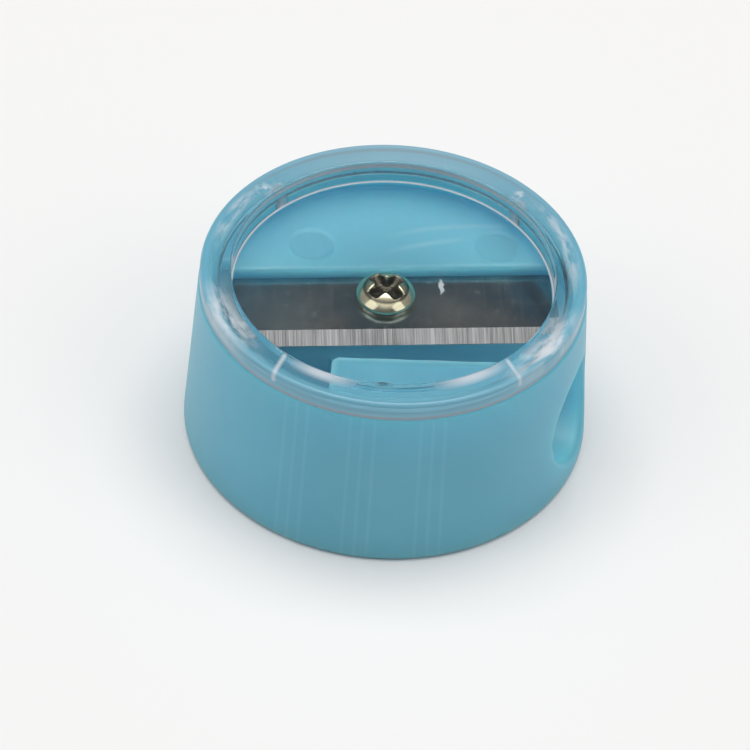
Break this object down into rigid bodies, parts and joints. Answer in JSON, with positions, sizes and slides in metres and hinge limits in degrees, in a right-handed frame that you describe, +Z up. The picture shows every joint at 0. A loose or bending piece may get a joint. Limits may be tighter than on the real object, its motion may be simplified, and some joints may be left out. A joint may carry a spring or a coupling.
{
  "type": "pocket pencil sharpener",
  "caption": "Round hand-held pencil sharpener: a plastic drum with a cone-shaped pencil hole in its side, a screwed-down steel blade, a shavings pocket and a clear plug lid.",
  "frame": {"origin": "centre of the drum's flat underside", "axes": "+Z up through the lid; +X towards the pencil hole in the side wall; the cutting edge faces -Y"},
  "size_m": [0.0306, 0.0306, 0.0151],
  "materials": {
    "blue_plastic": "satin moulded plastic, slightly translucent",
    "blade_steel": "finely scratched flat, ground bevel",
    "screw_nickel": "polished nickel plate, slightly warm",
    "clear_plastic": "polished clear plastic"
  },
  "bodies": {
    "sharpener": {"drum": "blue_plastic", "blade": "blade_steel", "screw": "screw_nickel"},
    "cover": {"lid": "clear_plastic"}
  },
  "joints": [
    {"name": "lid_lift", "type": "slide", "parent": "sharpener", "child": "cover", "axis": [0, 0, 1], "range_m": [0, 0.025]}
  ]
}
